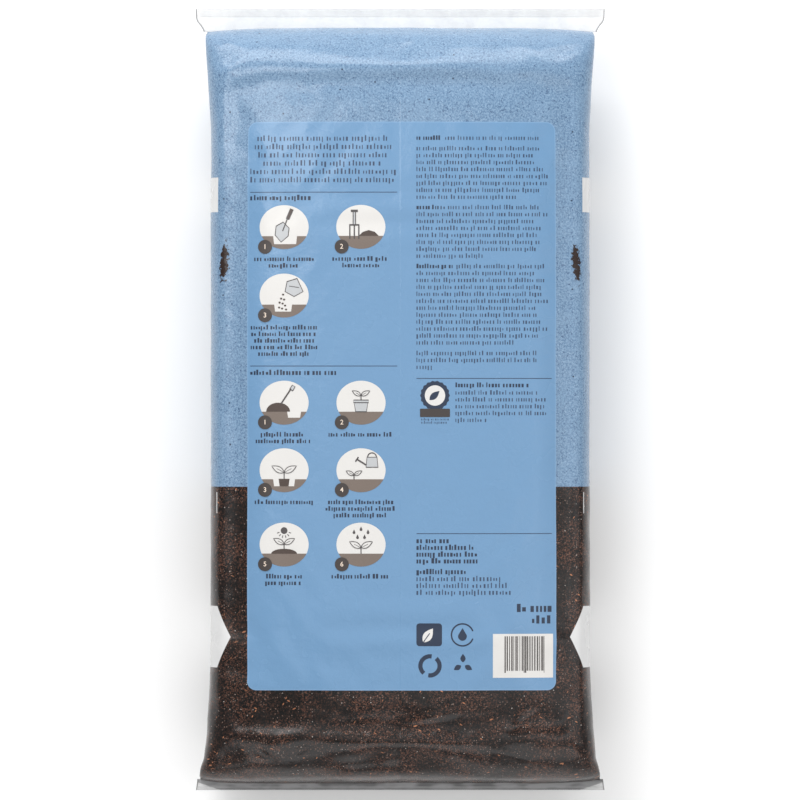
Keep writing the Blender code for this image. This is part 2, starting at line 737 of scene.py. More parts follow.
TOP_DENTS = (
    Dent(-0.171, 0.339, 0.016, 0.012, 25, 0.0030),
    Dent(-0.166, 0.354, 0.012, 0.004, -35, -0.0012),
    Dent(-0.168, 0.329, 0.014, 0.004, 30, -0.0014),
    Dent(0.166, 0.347, 0.018, 0.005, 20, 0.0016),
    Dent(-0.022, 0.342, 0.010, 0.004, 0, -0.0008),
    Dent(0.014, 0.354, 0.014, 0.005, 30, 0.0012),
    Dent(0.060, 0.351, 0.022, 0.004, 4, -0.0009),
    Dent(0.122, 0.350, 0.028, 0.006, -24, -0.0012),
    Dent(-0.050, 0.322, 0.060, 0.014, -22, -0.0010),
)

BOTTOM_DENTS = (
    Dent(-0.172, -0.355, 0.022, 0.011, 15, 0.0042),
    Dent(-0.138, -0.352, 0.010, 0.004, -30, 0.0022),
    Dent(-0.098, -0.348, 0.010, 0.004, 20, 0.0020),
    Dent(-0.045, -0.361, 0.020, 0.005, 0, 0.0024),
    Dent(-0.009, -0.357, 0.009, 0.005, 10, 0.0018),
    Dent(0.122, -0.322, 0.018, 0.005, 35, 0.0022),
    Dent(-0.185, -0.308, 0.008, 0.018, 8, 0.0020),
    Dent(0.032, -0.315, 0.030, 0.004, 12, -0.0014),
    Dent(0.105, -0.352, 0.026, 0.004, -17, -0.0013),
    Dent(0.055, -0.347, 0.030, 0.012, 0, -0.0016),
    Dent(-0.110, -0.368, 0.040, 0.008, -4, -0.0014),
    Dent(0.165, -0.350, 0.026, 0.016, 24, -0.0018),
)


@dataclass
class FilledTube:
    """The gusseted film tube, filled and lying on its front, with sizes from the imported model."""

    width: float
    length: float
    height: float
    gusset: float = 0.044
    top_fin: float = 0.019
    bottom_fin: float = 0.007
    fin_level: float = 0.076
    bottom_roll: float = 0.052
    top_roll: float = 0.050
    bottom_slope: float = 0.150
    top_slope: float = 0.190
    slope_share: float = 0.22
    roll_roundness: float = 2.2
    squareness: float = 3.6
    tuck_height: float = 0.75
    heel: float = 0.0085
    shoulder: float = 0.0045
    quarter: int = 42
    waist: tuple[tuple[float, float], ...] = (
        (-0.3835, 0.2025),
        (-0.3705, 0.1995),
        (-0.3605, 0.1963),
        (-0.3305, 0.1933),
        (-0.2700, 0.1903),
        (0.2700, 0.1900),
        (0.3295, 0.1928),
        (0.3715, 0.1960),
    )
    flat_half: float = 0.165
    rows: np.ndarray = field(init=False)
    run: np.ndarray = field(init=False)
    round: np.ndarray = field(init=False)

    def __post_init__(self) -> None:
        """Works out the ends of the body, and where its rows lie along the film."""
        self.bottom = -self.length / 2 + self.bottom_fin
        self.top = self.length / 2 - self.top_fin
        self.girth = 2 * self.width + 4 * self.gusset
        self.rise_up = self.height - self.fin_level
        self.rise_down = self.fin_level + 0.004
        dense = self.bottom + (self.top - self.bottom) * (1 - np.cos(np.linspace(0, pi, 2001))) / 2
        crown = np.array([self.swelling(y) for y in dense]) * self.rise_up
        path = np.concatenate([[0.0], np.cumsum(np.hypot(np.diff(dense), np.diff(crown)))])
        pitch = self.girth / (4 * self.quarter)
        count = round(path[-1] / pitch) + 1
        even = np.linspace(0.0, path[-1], count)
        self.rows = np.interp(even, path, dense)
        self.run = even - np.interp(0.0, dense, path)
        x, z = self.half_ring(0.0)
        step = np.where(x[1:] < self.flat_half, np.abs(np.diff(x)), np.hypot(np.diff(x), np.diff(z)))
        half = np.concatenate([[0.0], np.cumsum(step)])
        self.round = np.concatenate([half, 2 * half[-1] - half[-2::-1]])
        self.way_round = float(self.round[-1])

    def swelling(self, y: float) -> float:
        """How far the body has swelled at a place along it.

        Args:
            y: Place along the bag.

        Returns:
            0 at the welds, 1 in the middle.
        """
        ends = (
            (y - self.bottom, self.bottom_roll, self.bottom_slope),
            (self.top - y, self.top_roll, self.top_slope),
        )
        rise = 1.0
        for gone, roll, slope in ends:
            tight = (1.0 - max(1.0 - gone / roll, 0.0) ** self.roll_roundness) ** (1.0 / self.roll_roundness)
            gentle = 1.0 - max(1.0 - gone / slope, 0.0) ** 2
            rise *= (1.0 - self.slope_share) * tight + self.slope_share * gentle
        return rise

    def half_width(self, y: float) -> float:
        """Half the width of the filled body.

        Args:
            y: Place along the bag.

        Returns:
            Metres from the middle to the side.
        """
        return float(np.interp(y, *zip(*self.waist)))

    def half_ring(self, y: float) -> tuple[np.ndarray, np.ndarray]:
        """Outline of the right half at y, from the crown round the side to the underside.

        Args:
            y: Place along the bag.

        Returns:
            Distances across and heights, evenly spaced within each quarter.
        """
        rise = self.swelling(y)
        phi = np.linspace(pi / 2, -pi / 2, 721)
        x = self.half_width(y) * np.abs(np.cos(phi)) ** (2 / self.squareness)
        x[[0, -1]] = 0.0
        bulge = np.sign(phi) * np.abs(np.sin(phi)) ** (2 / self.squareness)
        z = self.fin_level + rise * np.where(phi > 0, self.rise_up, self.rise_down) * bulge
        z = np.maximum(z, 0.0)
        if rise > 0.0:
            spare = max(self.girth / 2 - np.hypot(np.diff(x), np.diff(z)).sum(), 0.0) / 2
            reach = self.tuck_height * rise * self.rise_up
            tuck = np.clip(1.0 - np.abs(z - self.fin_level) / reach, 0.0, 1.0)
            x = x - spare * tuck * min(rise * 3.0, 1.0)
            x *= self.half_width(y) / x.max()
        side = len(phi) // 2
        parts = []
        for stretch in (slice(0, side + 1), slice(side, None)):
            part_x, part_z = x[stretch], z[stretch]
            along = np.concatenate([[0.0], np.cumsum(np.hypot(np.diff(part_x), np.diff(part_z)))])
            places = np.linspace(0.0, along[-1], self.quarter + 1)
            parts.append((np.interp(places, along, part_x), np.interp(places, along, part_z)))
        (top_x, top_z), (low_x, low_z) = parts
        return np.concatenate([top_x, low_x[1:]]), np.concatenate([top_z, low_z[1:]])

    def points(self) -> np.ndarray:
        """Places of the film's grid.

        Returns:
            An array of rows by columns by three, the columns running round from the lap seam.
        """
        grid = np.zeros((len(self.rows), 4 * self.quarter, 3))
        for row, y in enumerate(self.rows):
            x, z = self.half_ring(y)
            grid[row, :, 0] = np.concatenate([x, -x[-2:0:-1]])
            grid[row, :, 2] = np.concatenate([z, z[-2:0:-1]])
            grid[row, :, 1] = y
        lower = np.clip((self.fin_level - grid[:, :, 2]) / self.fin_level, 0.0, 1.0)
        near_bottom = np.exp(-(grid[:, :, 1] - self.bottom) / 0.03)
        near_top = np.exp(-(self.top - grid[:, :, 1]) / 0.05)
        sideways = np.abs(grid[:, :, 0]) / np.abs(grid[:, :, 0]).max(axis=1, keepdims=True)
        grid[:, :, 1] -= self.heel * np.sin(pi * lower) * near_bottom
        grid[:, :, 1] -= self.shoulder * sideways**6 * near_top
        grid[:, :, 1] += self.shoulder * sideways**16 * near_bottom
        return grid

    def film(self) -> bpy.types.Object:
        """Builds the tube's coarse mesh with its map.

        Returns:
            The film, linked to the scene.
        """
        grid = self.points()
        row_count, columns, _ = grid.shape
        row, column = np.meshgrid(np.arange(row_count - 1), np.arange(columns), indexing="ij")
        after = (column + 1) % columns
        corners = np.stack(
            [
                row * columns + column,
                (row + 1) * columns + column,
                (row + 1) * columns + after,
                row * columns + after,
            ],
            axis=-1,
        ).reshape(-1, 4)
        mesh = bpy.data.meshes.new("film_tube")
        mesh.from_pydata(grid.reshape(-1, 3).tolist(), [], corners.tolist())
        u = self.round[np.stack([column, column, column + 1, column + 1], axis=-1)]
        v = np.stack([self.run[row], self.run[row + 1], self.run[row + 1], self.run[row]], axis=-1)
        layer = mesh.uv_layers.new(name="film")
        layer.data.foreach_set("uv", np.stack([u, v], axis=-1).reshape(-1).astype(np.float32))
        film = bpy.data.objects.new("film_tube", mesh)
        bpy.context.scene.collection.objects.link(film)
        return film


def as_plain_mesh(thing: bpy.types.Object, name: str) -> bpy.types.Object:
    """Turns an object and its modifiers into a plain mesh object, and removes the original.

    Args:
        thing: The object with live modifiers.
        name: The new object's name.

    Returns:
        The plain object, linked to the scene.
    """
    graph = bpy.context.evaluated_depsgraph_get()
    graph.update()
    mesh = bpy.data.meshes.new_from_object(thing.evaluated_get(graph), depsgraph=graph)
    bpy.data.objects.remove(thing, do_unlink=True)
    mesh.name = name
    plain = bpy.data.objects.new(name, mesh)
    bpy.context.scene.collection.objects.link(plain)
    return plain


def vertex_places(mesh: bpy.types.Mesh) -> np.ndarray:
    """Reads a mesh's vertices.

    Args:
        mesh: The mesh.

    Returns:
        Their places, one row each.
    """
    places = np.empty(len(mesh.vertices) * 3)
    mesh.vertices.foreach_get("co", places)
    return places.reshape(-1, 3)


# ---------------------------------------------------------------------------------------------
# Geometry node trees
# ---------------------------------------------------------------------------------------------


class Making(Graph):
    """A geometry node tree with named inputs, run once on an object and then removed."""

    def __init__(self, name: str, inputs: Sequence[tuple[str, str, Any]]) -> None:
        """Starts the tree and declares its inputs.

        Args:
            name: The tree's name.
            inputs: Name, socket type and default of each input after the geometry.
        """
        tree = bpy.data.node_groups.new(name, "GeometryNodeTree")
        super().__init__(tree)
        tree.interface.new_socket("Geometry", in_out="INPUT", socket_type="NodeSocketGeometry")
        tree.interface.new_socket("Geometry", in_out="OUTPUT", socket_type="NodeSocketGeometry")
        self.names: dict[str, str] = {}
        for label, kind, default in inputs:
            socket = tree.interface.new_socket(label, in_out="INPUT", socket_type=kind)
            if default is not None:
                socket.default_value = default
            self.names[label] = socket.identifier
        self.entry = self.add("NodeGroupInput")

    def given(self, label: str) -> Wire:
        """One of the tree's inputs.

        Args:
            label: Its name.

        Returns:
            The input as a wire.
        """
        return Wire(self, self.entry.outputs[label])

    def close(self, shape: Wire) -> None:
        """Links the result to the tree's output.

        Args:
            shape: The finished geometry.
        """
        self.add("NodeGroupOutput", None, {0: shape})

    def run_on(self, thing: bpy.types.Object, name: str, **values: Any) -> bpy.types.Object:
        """Runs the tree on an object.

        Args:
            thing: The object, which is replaced.
            name: The new object's name.
            values: Inputs by name, with spaces as underscores.

        Returns:
            The plain result.
        """
        modifier = thing.modifiers.new(self.tree.name, "NODES")
        modifier.node_group = self.tree
        for label, value in values.items():
            modifier[self.names[label.replace("_", " ")]] = value
        return as_plain_mesh(thing, name)


def dropped_on_film(tree: Making, shape: Wire, lift: Any) -> Wire:
    """Drops a flat shape straight down onto the film's upper face.

    Args:
        tree: The tree that this is part of.
        shape: The shape, flat and above the bag.
        lift: How far each point stays above the film.

    Returns:
        The shape, lying on the film.
    """
    film = tree.wire("GeometryNodeObjectInfo", {"transform_space": "RELATIVE"}, {"Object": tree.given("Film")}, "Geometry")
    x, y, _ = tree.parted(tree.wire("GeometryNodeInputPosition"))
    ray = tree.add(
        "GeometryNodeRaycast",
        None,
        {
            "Target Geometry": film,
            "Source Position": tree.joined(x, y, 1.0),
            "Ray Direction": (0.0, 0.0, -1.0),
            "Ray Length": 2.0,
        },
    )
    _, _, level = tree.parted(Wire(tree, ray.outputs["Hit Position"]))
    return tree.wire("GeometryNodeSetPosition", None, {"Geometry": shape, "Position": tree.joined(x, y, level + lift)})


def tick_tree() -> Making:
    """Makes the tree that prints ticks: one flat bar on each point, sized by the point.

    Returns:
        The tree.
    """
    tree = Making(
        "laid_ticks",
        [
            ("Film", "NodeSocketObject", None),
            ("Ink", "NodeSocketMaterial", None),
            ("Lift", "NodeSocketFloat", 0.0001),
        ],
    )
    bar = tree.wire("GeometryNodeMeshGrid", None, {"Size X": 1.0, "Size Y": 1.0, "Vertices X": 2, "Vertices Y": 2})
    sizes = [
        tree.wire("GeometryNodeInputNamedAttribute", {"data_type": "FLOAT"}, {"Name": name}, "Attribute")
        for name in ("tick_width", "tick_height")
    ]
    spread = tree.wire(
        "GeometryNodeInstanceOnPoints",
        None,
        {"Points": tree.given("Geometry"), "Instance": bar, "Scale": tree.joined(*sizes, 1.0)},
    )
    laid = dropped_on_film(tree, tree.wire("GeometryNodeRealizeInstances", None, {0: spread}), tree.given("Lift"))
    tree.close(tree.wire("GeometryNodeSetMaterial", None, {"Geometry": laid, "Material": tree.given("Ink")}))
    return tree


def drawing_tree() -> Making:
    """Makes the tree that lays a flat drawing on the film, each part at its own height above it.

    Returns:
        The tree.
    """
    tree = Making("laid_drawing", [("Film", "NodeSocketObject", None)])
    _, _, level = tree.parted(tree.wire("GeometryNodeInputPosition"))
    held = tree.add(
        "GeometryNodeStoreNamedAttribute",
        {"data_type": "FLOAT", "domain": "POINT"},
        {"Geometry": tree.given("Geometry"), "Name": "ink_level", "Value": level},
    )
    lift = tree.wire("GeometryNodeInputNamedAttribute", {"data_type": "FLOAT"}, {"Name": "ink_level"}, "Attribute")
    laid = dropped_on_film(tree, Wire(tree, held.outputs[0]), lift)
    tree.close(tree.wire("GeometryNodeRealizeInstances", None, {0: laid}))
    return tree


def relief_tree() -> Making:
    """Makes the tree that presses the fill's lumps and the film's slack into the tube.

    Returns:
        The tree.
    """
    tree = Making(
        "fill_relief",
        [
            ("Slack", "NodeSocketFloat", 0.0012),
            ("Slack Size", "NodeSocketFloat", 0.09),
            ("Lumps", "NodeSocketFloat", 0.0009),
            ("Lump Size", "NodeSocketFloat", 0.022),
            ("Calm", "NodeSocketFloat", 0.3),
            ("Level", "NodeSocketFloat", 0.02),
            ("Seed", "NodeSocketFloat", 4.5),
        ],
    )
    place = tree.wire("GeometryNodeInputPosition")
    x, y, z = tree.parted(place)
    normal = tree.wire("GeometryNodeInputNormal")

    def rough(size: Wire, offset: float, detail: float) -> Wire:
        """Noise centred on nought.

        Args:
            size: Size of its features.
            offset: Added to the seed.
            detail: Octaves.

        Returns:
            The noise, about -1 to 1.
        """
        values = {"Vector": place, "W": tree.given("Seed") + offset, "Scale": tree.math("DIVIDE", 1.0, size), "Detail": detail}
        node = tree.add("ShaderNodeTexNoise", {"noise_dimensions": "4D"}, values)
        return (Wire(tree, node.outputs[0]) - 0.5) * 2.0

    flat_back = (tree.math("ABSOLUTE", x)).ramp(0.13, 0.18, 1.0, 0.0) * z.ramp(0.12, 0.14)
    calm = 1.0 - flat_back * y.ramp(-0.31, -0.27) * y.ramp(0.29, 0.25) * (1.0 - tree.given("Calm"))
    slack = rough(tree.given("Slack Size"), 0.0, 1.0) * tree.given("Slack")
    lumps = rough(tree.given("Lump Size"), 7.0, 2.0) * tree.given("Lumps") * y.ramp(0.10, -0.30, 0.35, 1.0)
    off_ground = z.ramp(0.0005, 0.02)
    push = (slack + lumps) * calm * off_ground
    moved = tree.wire(
        "GeometryNodeSetPosition",
        None,
        {"Geometry": tree.given("Geometry"), "Offset": tree.vector("MULTIPLY", normal, tree.joined(push, push, push))},
    )
    tree.close(tree.wire("GeometryNodeRealizeInstances", None, {0: moved}))
    return tree


# ---------------------------------------------------------------------------------------------
# Welded ends
# ---------------------------------------------------------------------------------------------


@dataclass
class WeldedEnd:
    """One welded fin: the flattened tube, the ridges that the jaws pressed in, and its folded edges."""

    name: str
    root: float
    end: float
    neck: tuple[tuple[float, float], ...]
    level: float
    ridges: int
    ridge_pitch: float
    thickness: float = 0.0006
    wave: float = 0.0011
    across: int = 150
    along: int = 12

    def height(self, x: np.ndarray, y: np.ndarray) -> np.ndarray:
        """Level of the fin's sheet, which ripples towards its root and lies flat at the weld.

        Args:
            x: Places across.
            y: Places along.

        Returns:
            Heights.
        """
        slack = np.clip((self.end - y) / (self.end - self.root), 0.0, 1.0)
        ripple = np.sin(x * 61.0 + 0.7) * 0.6 + np.sin(x * 143.0 + 2.1) * 0.3 + np.sin(x * 251.0) * 0.14
        return self.level + self.wave * ripple * (0.35 + 0.65 * slack)

    def half_width(self, y: float) -> float:
        """Half the fin's width.

        Args:
            y: Place along the bag.

        Returns:
            Metres from the middle to the folded edge.
        """
        places, widths = zip(*sorted(self.neck))
        return float(np.interp(y, places, widths))

    def sheet(self) -> bpy.types.Object:
        """Builds the fused sheet of film.

        Returns:
            The sheet, a thin closed plate.
        """
        mesh = bpy.data.meshes.new(self.name)
        bm = bmesh.new()
        bmesh.ops.create_grid(bm, x_segments=self.across, y_segments=self.along, size=1.0)
        for vertex in bm.verts:
            y = self.root + (vertex.co.y + 1) / 2 * (self.end - self.root)
            x = vertex.co.x * self.half_width(y)
            vertex.co = (x, y, float(self.height(np.array(x), np.array(y))))
        bmesh.ops.recalc_face_normals(bm, faces=bm.faces)
        bm.to_mesh(mesh)
        bm.free()
        mesh.shade_smooth()
        plate = bpy.data.objects.new(self.name, mesh)
        bpy.context.scene.collection.objects.link(plate)
        wall = plate.modifiers.new("fused_layers", "SOLIDIFY")
        wall.thickness = self.thickness
        wall.offset = 0.0
        return as_plain_mesh(plate, self.name)

    def beads(self) -> bpy.types.Object:
        """Builds the rounded folds down the fin's two sides.

        Returns:
            Both folds as one mesh.
        """
        curve = bpy.data.curves.new(self.name + "_folds", "CURVE")
        curve.dimensions = "3D"
        curve.bevel_depth = 0.00055
        curve.bevel_resolution = 3
        curve.use_fill_caps = True
        for side in (-1, 1):
            places = np.linspace(self.root, self.end, 24)
            spline = curve.splines.new("POLY")
            spline.points.add(len(places) - 1)
            for point, y in zip(spline.points, places):
                x = side * (self.half_width(y) - curve.bevel_depth)
                point.co = (x, y, float(self.height(np.array(x), np.array(y))), 1.0)
        folds = bpy.data.objects.new(curve.name, curve)
        bpy.context.scene.collection.objects.link(folds)
        return as_plain_mesh(folds, curve.name)

    def jaw_ridges(self) -> bpy.types.Object:
        """Builds the fine ridges that the welding jaws left across the fin.

        Returns:
            The ridges as one mesh.
        """
        width = 2 * self.half_width(self.end) - 0.004
        tree = Making(
            "jaw_ridges",
            [
                ("Count", "NodeSocketInt", 3),
                ("Pitch", "NodeSocketFloat", 0.003),
                ("Width", "NodeSocketFloat", 0.4),
                ("Bar", "NodeSocketFloat", 0.0008),
            ],
        )
        line = tree.wire(
            "GeometryNodeMeshLine",
            {"mode": "OFFSET"},
            {
                "Count": tree.given("Count"),
                "Start Location": (0.0, 0.0, 0.0),
                "Offset": tree.joined(0.0, tree.given("Pitch"), 0.0),
            },
        )
        size = tree.joined(tree.given("Width"), tree.given("Bar"), tree.given("Bar"))
        values = {"Size": size, "Vertices X": 160, "Vertices Y": 3, "Vertices Z": 2}
        bar = tree.wire("GeometryNodeMeshCube", None, values)
        spread = tree.wire("GeometryNodeInstanceOnPoints", None, {"Points": line, "Instance": bar})
        tree.close(tree.wire("GeometryNodeRealizeInstances", None, {0: spread}))
        seed = bpy.data.objects.new("ridge_seed", bpy.data.meshes.new("ridge_seed"))
        bpy.context.scene.collection.objects.link(seed)
        inward = -self.ridge_pitch if self.end > self.root else self.ridge_pitch
        ridges = tree.run_on(
            seed, self.name + "_ridges", Count=self.ridges, Pitch=inward, Width=width
        )
        places = vertex_places(ridges.data)
        places[:, 1] += self.end + inward * 0.35
        places[:, 2] = places[:, 2] + self.height(places[:, 0], places[:, 1])
        ridges.data.vertices.foreach_set("co", places.reshape(-1))
        return ridges


# ---------------------------------------------------------------------------------------------
# Drawing flat shapes
# ---------------------------------------------------------------------------------------------

Point = tuple[float, float]
Point3 = tuple[float, float, float]


def arc(centre: Point, radius_x: float, radius_y: float, start: float, end: float, count: int) -> list[Point]:
    """Points along part of an ellipse.

    Args:
        centre: Its centre.
        radius_x: Radius across.
        radius_y: Radius along.
        start: First angle in degrees, anticlockwise from the right.
        end: Last angle.
        count: How many points.

    Returns:
        The points.
    """
    angles = np.radians(np.linspace(start, end, count))
    return [(centre[0] + radius_x * cos(a), centre[1] + radius_y * sin(a)) for a in angles]


def leaf(root: Point, length: float, width: float, turn: float) -> list[Point]:
    """Outline of a pointed leaf.

    Args:
        root: Where its stalk joins.
        length: From root to tip.
        width: Across its broadest part.
        turn: Direction of its tip in degrees, anticlockwise from the right.

    Returns:
        The outline's points.
    """
    shares = np.linspace(0.0, 1.0, 11)
    half = width / 2 * np.sin(pi * shares**0.85)
    outline = [(length * s, h) for s, h in zip(shares, half)]
    outline += [(length * s, -h) for s, h in zip(shares[-2:0:-1], half[-2:0:-1])]
    a = radians(turn)
    return [(root[0] + x * cos(a) - y * sin(a), root[1] + x * sin(a) + y * cos(a)) for x, y in outline]


class Drawing:
    """A pad of flat shapes in artwork millimetres, each in an ink and at a level above the film."""

    STEP = 0.00005

    def __init__(self, name: str) -> None:
        """Starts an empty drawing.

        Args:
            name: Name of the piece it becomes.
        """
        self.name = name
        self.bm = bmesh.new()
        self.inks: list[Ink] = []

    def shape(self, outline: Sequence[Point], ink: Ink, level: int) -> None:
        """Fills an outline.

        Args:
            outline: Its points in order.
            ink: The ink.
            level: Higher levels lie over lower ones.
        """
        if ink not in self.inks:
            self.inks.append(ink)
        lift = (2 + level) * self.STEP
        corners = [self.bm.verts.new((x * ARTWORK_MM, y * ARTWORK_MM, lift)) for x, y in outline]
        face = self.bm.faces.new(corners)
        face.normal_update()
        if face.normal.z < 0:
            face.normal_flip()
        face.material_index = self.inks.index(ink)

    def box(self, left: float, bottom: float, right: float, top: float, ink: Ink, level: int, round_by: float = 0.0) -> None:
        """Fills a box, with round corners if asked.

        Args:
            left: Left side.
            bottom: Bottom side.
            right: Right side.
            top: Top side.
            ink: The ink.
            level: As for shape.
            round_by: Corner radius.
        """
        if round_by:
            outline = []
            corners = ((right, top, 0), (left, top, 90), (left, bottom, 180), (right, bottom, 270))
            for x, y, start in corners:
                centre = (x - round_by if x == right else x + round_by, y - round_by if y == top else y + round_by)
                outline += arc(centre, round_by, round_by, start, start + 90, 5)
        else:
            outline = [(left, bottom), (right, bottom), (right, top), (left, top)]
        self.shape(outline, ink, level)

    def line(self, points: Sequence[Point], width: float, ink: Ink, level: int) -> None:
        """Draws a line of even width.

        Args:
            points: The points that it passes.
            width: Its width.
            ink: The ink.
            level: As for shape.
        """
        path = np.array(points, float)
        heading = np.gradient(path, axis=0)
        heading /= np.maximum(np.linalg.norm(heading, axis=1, keepdims=True), 1e-9)
        side = np.stack([-heading[:, 1], heading[:, 0]], axis=1) * width / 2
        left, right = path + side, path - side
        for i in range(len(path) - 1):
            self.shape([tuple(p) for p in (right[i], right[i + 1], left[i + 1], left[i])], ink, level)

    def outlined(self, outline: Sequence[Point], fill: Ink, level: int, width: float = 0.9) -> None:
        """Fills an outline and draws a line round it.

        Args:
            outline: Its points in order.
            fill: The fill's ink.
            level: The fill's level; the line lies one above it.
            width: Width of the line.
        """
        self.shape(outline, fill, level)
        ring = [*outline, outline[0], outline[1]]
        self.line(ring, width, Ink.STROKE, level + 1)

    def numeral(self, number: int, centre: Point, size: float, ink: Ink, level: int) -> None:
        """Draws a plain number.

        Args:
            number: The number.
            centre: Its middle.
            size: Its height, about.
            ink: The ink.
            level: As for shape.
        """
        curve = bpy.data.curves.new("numeral", "FONT")
        curve.body = str(number)
        curve.align_x = "CENTER"
        curve.align_y = "CENTER"
        curve.size = size * 1.35 * ARTWORK_MM
        curve.offset = 0.00006
        curve.resolution_u = 4
        holder = bpy.data.objects.new("numeral", curve)
        bpy.context.scene.collection.objects.link(holder)
        flat = as_plain_mesh(holder, "numeral")
        if ink not in self.inks:
            self.inks.append(ink)
        lift = (2 + level) * self.STEP
        flat.data.transform(Matrix.Translation((centre[0] * ARTWORK_MM, centre[1] * ARTWORK_MM, lift)))
        old = len(self.bm.faces)
        self.bm.from_mesh(flat.data)
        self.bm.faces.ensure_lookup_table()
        for face in self.bm.faces[old:]:
            face.material_index = self.inks.index(ink)
        bpy.data.objects.remove(flat, do_unlink=True)

    def laid_on(self, film: bpy.types.Object, longest: float = 0.004) -> bpy.types.Object:
        """Cuts the shapes fine enough to follow the film, and lays them on it.

        Args:
            film: The film.
            longest: Longest edge left.

        Returns:
            The finished piece.
        """
        bmesh.ops.triangulate(self.bm, faces=self.bm.faces)
        for _ in range(8):
            long_edges = [e for e in self.bm.edges if e.calc_length() > longest]
            if not long_edges:
                break
            bmesh.ops.subdivide_edges(self.bm, edges=long_edges, cuts=1)
            bmesh.ops.triangulate(self.bm, faces=self.bm.faces)
        mesh = bpy.data.meshes.new(self.name)
        self.bm.to_mesh(mesh)
        self.bm.free()
        for ink in self.inks:
            mesh.materials.append(INK_MATERIALS[ink])
        mesh.shade_smooth()
        pad = bpy.data.objects.new(self.name, mesh)
        bpy.context.scene.collection.objects.link(pad)
        return drawing_tree().run_on(pad, self.name, Film=film)


INK_MATERIALS: dict[Ink, bpy.types.Material] = {ink: ink.value.dress() for ink in Ink}


# ---------------------------------------------------------------------------------------------
# The back's small print
# ---------------------------------------------------------------------------------------------


@dataclass
class Writing:
    """Small print that says nothing: plain bars in groups like words, in artwork millimetres."""

    KINDS: ClassVar[tuple[Point, ...]] = ((0.0, 1.0), (0.18, 1.36), (-0.16, 1.32), (-0.06, 0.7))
    CHANCES: ClassVar[tuple[float, ...]] = (0.6, 0.18, 0.07, 0.15)

    name: str
    ink: Ink
    seed: int
    heaviness: float = 0.5
    ticks: list[tuple[float, float, float, float]] = field(default_factory=list)

    def __post_init__(self) -> None:
        """Starts the writing's own random draws."""
        self.draws = np.random.default_rng(self.seed)

    def sign(self, left: float, middle: float, size: float) -> float:
        """Adds one sign.

        Args:
            left: Where it starts.
            middle: Its middle along the bag.
            size: Height of a short tick.

        Returns:
            How far the next sign is.
        """
        advance = size * self.draws.uniform(0.62, 0.98)
        width = self.heaviness * advance * self.draws.uniform(0.75, 1.2)
        rise, height = self.KINDS[int(self.draws.choice(len(self.KINDS), p=self.CHANCES))]
        self.ticks.append((left + width / 2, middle + rise * size, width, height * size))
        return advance

    def line(self, left: float, right: float, middle: float, size: float = 3.3) -> None:
        """Fills a stretch of line with word-like groups.

        Args:
            left: Where it starts.
            right: Where it ends.
            middle: Its middle along the bag.
            size: Height of a short tick.
        """
        place = left
        while place < right - size:
            for _ in range(int(self.draws.integers(2, 10))):
                if place > right - size * 0.5:
                    break
                place += self.sign(place, middle, size)
            place += size * 0.5

    def centred(self, centre: float, widths: Sequence[float], first: float, pitch: float, size: float) -> None:
        """Writes centred lines.

        Args:
            centre: Their centre across.
            widths: Width of each line.
            first: Middle of the first line.
            pitch: Distance from line to line.
            size: Height of a short tick.
        """
        for row, width in enumerate(widths):
            self.line(centre - width / 2, centre + width / 2, first - row * pitch, size)

    def laid_on(self, film: bpy.types.Object, tree: Making) -> bpy.types.Object:
        """Lays the ticks on the film.

        Args:
            film: The film.
            tree: The tree of ticks.

        Returns:
            The finished piece.
        """
        marks = np.array(self.ticks) * ARTWORK_MM
        mesh = bpy.data.meshes.new(self.name)
        mesh.from_pydata([(x, y, 0.0) for x, y in marks[:, :2]], [], [])
        for name, column in (("tick_width", 2), ("tick_height", 3)):
            attribute = mesh.attributes.new(name, "FLOAT", "POINT")
            attribute.data.foreach_set("value", marks[:, column].astype(np.float32))
        points = bpy.data.objects.new(self.name, mesh)
        bpy.context.scene.collection.objects.link(points)
        log.info("%s: %d ticks", self.name, len(self.ticks))
        return tree.run_on(points, self.name, Film=film, Ink=INK_MATERIALS[self.ink])


class Motif(Enum):
    """What a round instruction picture shows."""

    TROWEL = "trowel"
    FORK = "fork"
    SACK = "sack"
    POT = "pot"
    SPROUT = "sprout"
    HEAP = "heap"
    CAN = "can"
    DROPS = "drops"
    SUN = "sun"


@dataclass(frozen=True)
class Step:
    """One round instruction picture with its number and the lines under it."""

    number: int
    motif: Motif
    across: float
    along: float
    caption: tuple[float, ...]


STEPS = (
    Step(1, Motif.TROWEL, -116.2, 172.5, (60, 31)),
    Step(2, Motif.FORK, -39.4, 172.7, (57, 37)),
    Step(3, Motif.SACK, -116.2, 104.0, (67, 66, 60, 67, 52)),
    Step(1, Motif.HEAP, -116.2, -3.2, (47, 57)),
    Step(2, Motif.POT, -39.2, -3.2, (65,)),
    Step(3, Motif.SPROUT, -116.2, -70.8, (59,)),
    Step(4, Motif.CAN, -39.2, -70.8, (66, 71, 55)),
    Step(5, Motif.SUN, -116.2, -145.2, (36, 38)),
    Step(6, Motif.DROPS, -39.2, -145.2, (59,)),
)


